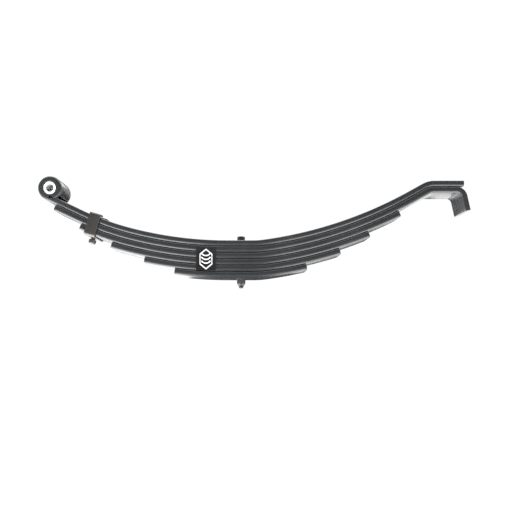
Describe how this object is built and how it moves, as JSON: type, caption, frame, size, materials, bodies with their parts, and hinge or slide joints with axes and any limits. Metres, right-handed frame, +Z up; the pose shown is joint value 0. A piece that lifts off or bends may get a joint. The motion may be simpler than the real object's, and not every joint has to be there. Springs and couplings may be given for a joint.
{
  "type": "leaf spring",
  "caption": "Trailer slipper leaf spring: stacked steel leaves on a centre bolt, a bushed eye at one end, and a flat slipper pad with a hook below it at the other.",
  "frame": {"origin": "where the centre bolt's axis meets the main leaf's top face, in the middle of the axle seat", "axes": "+X along the spring from the eye end to the slipper end, +Y across the leaves, +Z up along the centre bolt, from the shortest leaf to the main leaf"},
  "size_m": [0.6809, 0.05, 0.1753],
  "materials": {
    "black_paint": "semi-gloss black paint over spring steel",
    "bolt_steel": "black painted bolt and nut",
    "nylon": "off-white moulded nylon",
    "label": "black printed label with a silver mark"
  },
  "bodies": {
    "root": {"main_leaf_middle": "black_paint", "second_leaf_middle": "black_paint", "third_leaf_middle": "black_paint", "fourth_leaf_middle": "black_paint", "fifth_leaf_middle": "black_paint", "sixth_leaf_middle": "black_paint", "centre_bolt": "bolt_steel", "centre_nut": "bolt_steel"},
    "main_front": {"main_leaf_front": "black_paint"},
    "second_front": {"second_leaf_front": "black_paint"},
    "third_front": {"third_leaf_front": "black_paint", "rebound_clip": "black_paint", "clip_rivet": "black_paint"},
    "fourth_front": {"fourth_leaf_front": "black_paint", "maker_label": "label"},
    "fifth_front": {"fifth_leaf_front": "black_paint"},
    "sixth_front": {"sixth_leaf_front": "black_paint"},
    "main_rear": {"main_leaf_rear": "black_paint"},
    "second_rear": {"second_leaf_rear": "black_paint"},
    "third_rear": {"third_leaf_rear": "black_paint"},
    "fourth_rear": {"fourth_leaf_rear": "black_paint"},
    "fifth_rear": {"fifth_leaf_rear": "black_paint"},
    "sixth_rear": {"sixth_leaf_rear": "black_paint"},
    "bushing": {"eye_bushing": "nylon"}
  },
  "joints": [
    {"name": "main_front_flex", "type": "hinge", "parent": "root", "child": "main_front", "pos_m": [-0.02, 0, -0.00475], "axis": [0, -1, 0], "range_deg": [0, 9], "stiffness_Nm_per_rad": 6000},
    {"name": "second_front_flex", "type": "hinge", "parent": "root", "child": "second_front", "pos_m": [-0.02, 0, -0.01475], "axis": [0, -1, 0], "range_deg": [0, 9]},
    {"name": "third_front_flex", "type": "hinge", "parent": "root", "child": "third_front", "pos_m": [-0.02, 0, -0.02475], "axis": [0, -1, 0], "range_deg": [0, 9]},
    {"name": "fourth_front_flex", "type": "hinge", "parent": "root", "child": "fourth_front", "pos_m": [-0.02, 0, -0.03475], "axis": [0, -1, 0], "range_deg": [0, 9]},
    {"name": "fifth_front_flex", "type": "hinge", "parent": "root", "child": "fifth_front", "pos_m": [-0.02, 0, -0.04475], "axis": [0, -1, 0], "range_deg": [0, 9]},
    {"name": "sixth_front_flex", "type": "hinge", "parent": "root", "child": "sixth_front", "pos_m": [-0.02, 0, -0.05475], "axis": [0, -1, 0], "range_deg": [0, 9]},
    {"name": "main_rear_flex", "type": "hinge", "parent": "root", "child": "main_rear", "pos_m": [0.02, 0, -0.00475], "axis": [0, 1, 0], "range_deg": [0, 9], "stiffness_Nm_per_rad": 6000},
    {"name": "second_rear_flex", "type": "hinge", "parent": "root", "child": "second_rear", "pos_m": [0.02, 0, -0.01475], "axis": [0, 1, 0], "range_deg": [0, 9]},
    {"name": "third_rear_flex", "type": "hinge", "parent": "root", "child": "third_rear", "pos_m": [0.02, 0, -0.02475], "axis": [0, 1, 0], "range_deg": [0, 9]},
    {"name": "fourth_rear_flex", "type": "hinge", "parent": "root", "child": "fourth_rear", "pos_m": [0.02, 0, -0.03475], "axis": [0, 1, 0], "range_deg": [0, 9]},
    {"name": "fifth_rear_flex", "type": "hinge", "parent": "root", "child": "fifth_rear", "pos_m": [0.02, 0, -0.04475], "axis": [0, 1, 0], "range_deg": [0, 9]},
    {"name": "sixth_rear_flex", "type": "hinge", "parent": "root", "child": "sixth_rear", "pos_m": [0.02, 0, -0.05475], "axis": [0, 1, 0], "range_deg": [0, 9]},
    {"name": "bushing_turn", "type": "hinge", "parent": "main_front", "child": "bushing", "pos_m": [-0.3007, 0, 0.0822], "axis": [0, 1, 0], "continuous": true}
  ],
  "couplings": [
    {"joint": "second_front_flex", "follows": "main_front_flex", "ratio": 1},
    {"joint": "third_front_flex", "follows": "main_front_flex", "ratio": 1},
    {"joint": "fourth_front_flex", "follows": "main_front_flex", "ratio": 1},
    {"joint": "fifth_front_flex", "follows": "main_front_flex", "ratio": 1},
    {"joint": "sixth_front_flex", "follows": "main_front_flex", "ratio": 1},
    {"joint": "second_rear_flex", "follows": "main_rear_flex", "ratio": 1},
    {"joint": "third_rear_flex", "follows": "main_rear_flex", "ratio": 1},
    {"joint": "fourth_rear_flex", "follows": "main_rear_flex", "ratio": 1},
    {"joint": "fifth_rear_flex", "follows": "main_rear_flex", "ratio": 1},
    {"joint": "sixth_rear_flex", "follows": "main_rear_flex", "ratio": 1}
  ]
}
